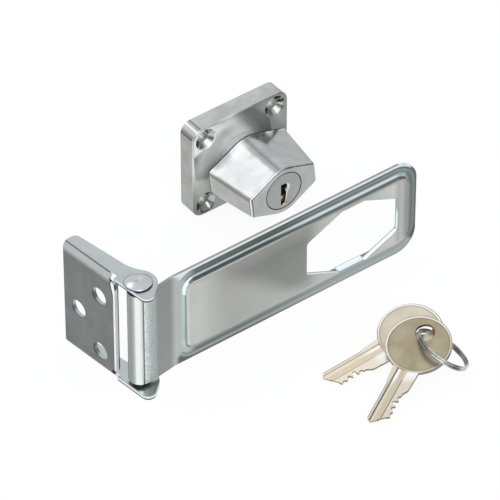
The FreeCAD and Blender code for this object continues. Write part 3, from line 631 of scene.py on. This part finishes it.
# %% [markdown]
# ## Nickel silver keys
# A key is blanked from nickel silver strip, which is warmer than steel. The bow is worn and has a
# painted highlight on its rim, with painted shade beside it, and the milled blade is paler, with a painted
# highlight near the bow and painted dark lines of shade at the edges of its groove. The keys lie askew
# on the ground, so the tones are laid out along each key: u forward, v sideways and w through it.


# %% A key's own directions
def key_directions(joint, heading):
    """The key's hole, and its directions forward, sideways and up."""
    hole, up = Vector(joints[joint]["pos_m"]), Vector(joints[joint]["axis"]).normalized()
    course = Vector((math.cos(math.radians(heading)), math.sin(math.radians(heading)), 0))
    forward = up.cross(Vector((-course.y, course.x, 0))).normalized()
    if forward.dot(course) < 0:
        forward = -forward
    return hole, (forward, up.cross(forward), up)


# %% Bow and blade
def key_bow(finish, u, v, radius, tone, dark):
    worn = finish.noise(finish.place(), 0.12, 3.0, 0.5).rises(0.35, 0.68)
    bow = finish.blend(worn, dark, tone)
    # a painted dark line of shade just inside the rim
    bow = finish.blend(radius.band(10.05, 10.2, 0.2) * 0.45, bow, (0.2, 0.17, 0.12))
    # a painted highlight on the rim, brighter towards one side
    lit = (3.0 - u * 0.6 - v * 0.8).rises(-6.0, 5.0)
    rim_highlight = finish.blend(lit, (0.62, 0.58, 0.48), (0.95, 0.93, 0.88))
    bow = finish.blend(radius.rises(10.35, 10.5), bow, rim_highlight)
    # painted shade on the bow's outer edge
    return finish.blend(radius.rises(10.82, 10.95), bow, (0.3, 0.28, 0.23))


def key_blade(finish, u, v, blade, line):
    groove_tone = tuple(c * share for c, share in zip(blade, (0.88, 0.84, 0.78)))
    milled = finish.blend(v.band(-1.2, 0.8, 0.15), blade, groove_tone)
    # a painted highlight on the blade near the bow
    patch = u.rises(14.4, 15.2) * (u + v * 0.5).falls(18.0, 22.5)
    patch = patch * (v.rises(1.2, 1.5) + v.band(-2.05, -1.15, 0.15))
    milled = finish.blend(patch, milled, (0.97, 0.96, 0.92))
    # painted dark lines of shade at the edges of the groove
    edges = v.band(-2.45, -2.25, 0.12) + v.band(0.85, 1.05, 0.12) * u.rises(18.8, 20.3)
    return finish.blend(edges, milled, line)


def nickel_silver(name, joint, heading, tone, dark, blade, line):
    finish = Finish(name)
    hole, directions = key_directions(joint, heading)
    u, v, w = (finish.along(hole, direction) for direction in directions)
    radius = length(u - BOW_FROM_HOLE, v)
    bow = key_bow(finish, u, v, radius, tone, dark)
    milled = key_blade(finish, u, v, blade, line)
    tint = finish.blend(radius.rises(10.95, 11.1) * u.rises(13.5, 15.0), bow, milled)
    # painted shade on the cut edges, but not on the groove's floor
    groove = v.band(-2.3, -0.1, 0.08) * u.rises(10.0, 10.8)
    wall = w.rises(-0.66, -0.5) * w.falls(0.52, 0.62) * (1.0 - groove * w.rises(-0.1, 0.1))
    from_back = v + 4.6 - u.rises(21.4, 22.2) * 1.3
    back = from_back.falls(0.16, 0.36) * u.rises(14.5, 15.5)
    tint = finish.blend(wall.most(back), tint, (0.26, 0.235, 0.18))
    grain = finish.noise(finish.place(), 5.0, 3.0, 0.6)
    tint = finish.blend(grain.rises(0.4, 0.8) * 0.15, tint, tuple(c * 0.7 for c in dark))
    finish.surface(Base_Color=tint, Metallic=1.0, Roughness=grain * 0.12 + 0.26)
    finish.surface(Normal=finish.bump(grain, 0.1, 0.00004))
    return finish.material


front_metal = nickel_silver("key_front_nickel_silver", "front_key_swing", 205.0, (0.48, 0.43, 0.305),
                            (0.38, 0.325, 0.215), (0.74, 0.68, 0.56), (0.2, 0.19, 0.15))
rear_metal = nickel_silver("key_rear_nickel_silver", "rear_key_swing", 172.0, (0.72, 0.65, 0.53),
                           (0.62, 0.56, 0.44), (0.84, 0.77, 0.63), (0.5, 0.44, 0.34))
print("key finishes ready")

# %% [markdown]
# ## Softened edges
# No real edge is perfectly sharp: a thin bevel catches the light and reads as pressed or cast metal. A
# shader can fake a bevel, but only real faces reach an exported mesh. The solid's own mesh stays as it
# is, so each piece in view is a merged copy with its sharp edges bevelled, and stands for the solid.


# %% A copy with soft edges
def settle(piece, node, material):
    """Put a piece in the scene, with its material, on the body of a node."""
    bpy.context.scene.collection.objects.link(piece)
    piece.data.materials.append(material)
    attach(piece, frame["nodes"][node]["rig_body"])
    print(piece.name, "faces", len(piece.data.polygons))


def softened(node, name, width, material, sharp=24.0, steps=2):
    work = bmesh.new()
    work.from_mesh(frame["nodes"][node].data)
    bmesh.ops.remove_doubles(work, verts=work.verts, dist=2e-6)
    bmesh.ops.dissolve_limit(work, angle_limit=math.radians(0.4), verts=work.verts, edges=work.edges)
    data = bpy.data.meshes.new(name)
    work.to_mesh(data)
    work.free()
    data.shade_smooth()
    piece = bpy.data.objects.new(name, data)
    bevel = piece.modifiers.new("soft edges", "BEVEL")
    bevel.width = width * MM
    bevel.segments = steps
    bevel.limit_method = "ANGLE"
    bevel.angle_limit = math.radians(sharp)
    bevel.miter_outer = "MITER_ARC"
    normals = piece.modifiers.new("even shading", "WEIGHTED_NORMAL")
    normals.keep_sharp = True
    settle(piece, node, material)
    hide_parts(node)


# %% The hasp and the lock with soft edges
softened("strap", "dressed_strap", 0.35, strap_steel, steps=3)
softened("hinge_leaf", "dressed_leaf", 0.2, leaf_steel)
softened("hinge_pin", "dressed_pin", 0.2, pin_chrome)
softened("lock_plate", "dressed_plate", 0.22, plate_chrome)
softened("knob_body", "dressed_knob", 0.25, knob_chrome)
softened("key_plug", "dressed_plug", 0.1, plug_metal)

# %% [markdown]
# ## The closed seam of the knuckle
# On the real strap the rolled end butts against the sheet and leaves only a thin seam. The solid ends
# its roll earlier. Its mesh mustn't change, so a strip of the same sheet, drawn as one section and
# raised along the pin, closes the groove up to a hair line.


# %% Strip drawn as a section, in millimetres from the pin's axis
def new_detail(name, work, material, node):
    """A small piece of its own that rides on a node's body, with the material it is given."""
    bmesh.ops.recalc_face_normals(work, faces=work.faces)
    data = bpy.data.meshes.new(name)
    work.to_mesh(data)
    work.free()
    data.shade_smooth()
    data.set_sharp_from_angle(angle=math.radians(40.0))
    settle(bpy.data.objects.new(name, data), node, material)


def seam_strip():
    section = [(-0.62, -3.4), (-0.6, -3.58), (-0.52, -3.7), (-0.36, -3.78), (0.0, -3.82), (0.8, -3.83),
               (1.8, -3.8), (2.8, -3.74), (3.7, -3.66), (4.4, -3.59), (4.55, -3.5), (4.0, -3.2),
               (3.0, -2.75), (2.2, -2.45), (1.0, -2.42), (0.0, -2.45), (-0.55, -2.45)]
    work = bmesh.new()
    low, high = ([work.verts.new((pin.x + a * MM, pin.y + b * MM, height * MM)) for a, b in section]
                 for height in (STRAP_LOW, STRAP_HIGH))
    for i, corner in enumerate(low):
        after = (i + 1) % len(low)
        work.faces.new((corner, low[after], high[after], high[i]))
    work.faces.new(low)
    work.faces.new(high)
    new_detail("seam_strip", work, strap_steel, "strap")


seam_strip()

# %% [markdown]
# ## The lip of the keyway
# The photograph shows a bright bead beside the dark slot, where the shutter's lip curls round it. It
# could be a curve object with a thickness, but a mesh made at once is easier to ride on the plug: a
# flattened round wire, swept along a few points on the plug's face and thickened at its upper end.


# %% A swept lip: places across and up from the plug's centre, and the wire's radius, in millimetres
LIP_PATH = [(0.75, 3.05, 0.2), (1.35, 2.6, 0.34), (1.85, 1.7, 0.62), (1.95, 0.8, 0.74), (1.7, -0.1, 0.5),
            (1.5, -1.5, 0.26), (1.48, -3.0, 0.22), (1.45, -4.4, 0.22), (1.1, -5.5, 0.26), (0.3, -6.0, 0.26)]
LIP_SINK, LIP_FLATTENED, LIP_AROUND = 0.12, 0.55, 12


def lip_row(work, front, i):
    """The wire's ring of points at one place of the path, square to the path there."""
    across, up, thick = LIP_PATH[i]
    before, after = LIP_PATH[max(i - 1, 0)], LIP_PATH[min(i + 1, len(LIP_PATH) - 1)]
    run = Vector((after[0] - before[0], 0, after[1] - before[1])).normalized()
    side, outward = Vector((run.z, 0, -run.x)), Vector((0, -LIP_FLATTENED, 0))
    middle = Vector((across, LIP_SINK, up))
    lean = Matrix.Rotation(KNOB_TWIST, 3, "Y")
    turns = (2 * math.pi * k / LIP_AROUND for k in range(LIP_AROUND))
    points = (middle + (side * math.cos(turn) + outward * math.sin(turn)) * thick for turn in turns)
    return [work.verts.new(front + lean @ point * MM) for point in points]


def swept_lip():
    work = bmesh.new()
    front = Vector(joints["key_turn"]["pos_m"])
    rows = [lip_row(work, front, i) for i in range(len(LIP_PATH))]
    for first, second in zip(rows, rows[1:]):
        for k in range(LIP_AROUND):
            after = (k + 1) % LIP_AROUND
            work.faces.new((first[k], first[after], second[after], second[k]))
    work.faces.new(rows[0])
    work.faces.new(rows[-1])
    new_detail("keyway_lip", work, lip_metal, "key_plug")


swept_lip()

# %% [markdown]
# ## Keys and ring
# The punch that blanks a key rounds its edges slightly, so the keys are softened like the sheet. The
# ring is round wire already, and only the flat ends of its wire have edges to soften.

# %% Keys and ring with soft edges
softened("key_front", "dressed_key_front", 0.2, front_metal)
softened("key_rear", "dressed_key_rear", 0.2, rear_metal)
softened("key_ring", "dressed_ring", 0.02, ring_metal, sharp=80.0)

# %% [markdown]
# ## Hidden parts
# Wafers and bolt are brass, and the rest inside is steel. They keep their own meshes, because nobody
# sees their edges.

# %% Materials of the hidden parts
for name, node in frame["nodes"].items():
    brass = name == "locking_bolt" or (name.startswith("wafer_") and "spring" not in name)
    node.data.materials.clear()
    node.data.materials.append(inner_brass if brass else inner_steel)
print("hidden parts done")

# %% [markdown]
# ## Studio
# The photograph has a white ground and hardly a shadow. A lit white card would come out grey beside the
# metal, so the floor is mostly a white glow to the camera and in mirrors, and plain white card to the
# light that falls on it.


# %% Floor
def white_floor():
    work = bmesh.new()
    bmesh.ops.create_grid(work, x_segments=1, y_segments=1, size=3.0)
    bmesh.ops.translate(work, verts=work.verts, vec=(0, 0, -0.00005))
    data = bpy.data.meshes.new("studio_floor")
    work.to_mesh(data)
    work.free()
    floor = bpy.data.objects.new("studio_floor", data)
    bpy.context.scene.collection.objects.link(floor)
    finish = Finish("white_card")
    finish.surface(Base_Color=0.96, Roughness=0.9, Specular_IOR_Level=0.0)
    rays = finish.node("ShaderNodeLightPath").socket.node.outputs
    seen = Value(finish, rays["Is Camera Ray"]) + Value(finish, rays["Is Glossy Ray"])
    seen = seen + Value(finish, rays["Is Transmission Ray"])
    glow = finish.node("ShaderNodeEmission", None, {"Color": 1.0, "Strength": 1.0})
    card = Value(finish, finish.shader.outputs[0])
    mixed = finish.node("ShaderNodeMixShader", None, {0: seen * 0.93, 1: card, 2: glow})
    finish.put(finish.tree.nodes["Material Output"].inputs["Surface"], mixed)
    data.materials.append(finish.material)


white_floor()
print("floor ready")

# %% [markdown]
# ## Sky and lamp
# Bright metal shows what stands round it, so a studio puts up white and black cards. Cards could be
# modelled as planes, but drawn on the sky they have soft edges and cast no shadow. A black one stands
# low at the front right, a bright one high at the front left, and three faint ones overhead and behind.
# Just above the ground the sky is greyer. One lamp shines on the lock from above, behind it on the left.


# %% Sky
class Sky(Finish):
    """The studio's ceiling and walls, drawn by direction."""

    def __init__(self, name):
        self.material = bpy.data.worlds.new(name)
        self.material.use_nodes = True
        self.tree = self.material.node_tree
        self.shader = self.tree.nodes["Background"]
        self.where = self.node("ShaderNodeTexCoord", output="Generated")

    def near(self, direction, inner, outer):
        """1 within inner degrees of a direction, and 0 beyond outer degrees."""
        inputs = {0: self.where, 1: tuple(Vector(direction).normalized())}
        dot = self.node("ShaderNodeVectorMath", {"operation": "DOT_PRODUCT"}, inputs, "Value")
        return dot.rises(math.cos(math.radians(outer)), math.cos(math.radians(inner)))


# direction, degrees in which a card is full, degrees at which it ends, and how much brighter it is
CARDS = [((0.76, -0.58, 0.28), 8.0, 30.0, -0.72),
         ((-0.28, -0.62, 0.73), 10.0, 30.0, 1.7),
         ((0.458, 0.602, 0.654), 4.0, 16.0, 0.12),
         ((0.232, 0.497, 0.82), 3.0, 8.0, -0.36),
         ((0.0, 0.15, 1.0), 5.0, 25.0, 0.06)]

sky = Sky("studio_sky")
height = sky.node("ShaderNodeSeparateXYZ", None, {"Vector": sky.where}, "Z")
tone = 0.95 - height.rises(-0.05, 0.02) * height.falls(0.1, 0.2) * 0.5
for direction, inner, outer, brighter in CARDS:
    tone = tone + sky.near(direction, inner, outer) * brighter
shade = sky.node("ShaderNodeCombineColor", None, {"Red": tone * 0.985, "Green": tone, "Blue": tone * 1.02})
sky.put(sky.shader.inputs["Color"], shade)
bpy.context.scene.world = sky.material
print("sky has", len(CARDS), "cards")


# %% Looking from one place to another
def aimed(name, data, place, aim):
    """A lamp or a camera at a place, turned towards the aim."""
    made = bpy.data.objects.new(name, data)
    bpy.context.scene.collection.objects.link(made)
    turn = (Vector(place) - Vector(aim)).to_track_quat("Z", "Y").to_matrix().to_4x4()
    made.matrix_world = Matrix.Translation(place) @ turn
    return made


# %% Lamp
softbox = bpy.data.lights.new("left_softbox", "AREA")
softbox.shape = "RECTANGLE"
softbox.size = softbox.size_y = 0.34
softbox.energy = 0.32
aimed("left_softbox", softbox, lock + Vector((-0.36, 0.47, 0.81)) * 0.8, lock)
print("lamp of", softbox.energy, "W")

# %% [markdown]
# ## Camera
# The view was measured from straight edges in the photograph: 37.3 degrees to the left of the strap's
# face and 40.8 degrees above the floor, from far away, so that parallel edges stay parallel. An
# orthographic camera would be close, but a long lens keeps the slight narrowing that the photo shows.

# %% Camera
LEFT_OF_FRONT, ABOVE_FLOOR = math.radians(37.28), math.radians(40.83)
FOCAL_LENGTH, PICTURE_SIZE = 4855.97, 500.0     # in pixels of the photograph
AIM_FROM_PIN, AIM_HEIGHT = (43.424, -2.434), 37.126
DISTANCE = 1.5875                               # in metres
SENSOR = 36.0

aim = Vector((pin.x + AIM_FROM_PIN[0] * MM, pin.y + AIM_FROM_PIN[1] * MM, AIM_HEIGHT * MM))
away = Vector((-math.sin(LEFT_OF_FRONT) * math.cos(ABOVE_FLOOR),
               -math.cos(LEFT_OF_FRONT) * math.cos(ABOVE_FLOOR), math.sin(ABOVE_FLOOR)))
lens = bpy.data.cameras.new("camera")
lens.sensor_width = SENSOR
lens.lens = FOCAL_LENGTH / PICTURE_SIZE * SENSOR
lens.clip_end = 20.0
bpy.context.scene.camera = aimed("camera", lens, aim + away * DISTANCE, aim)
bpy.context.scene.view_settings.view_transform = "Standard"
print("lens", round(lens.lens, 1), "mm from", round(DISTANCE, 2), "m")
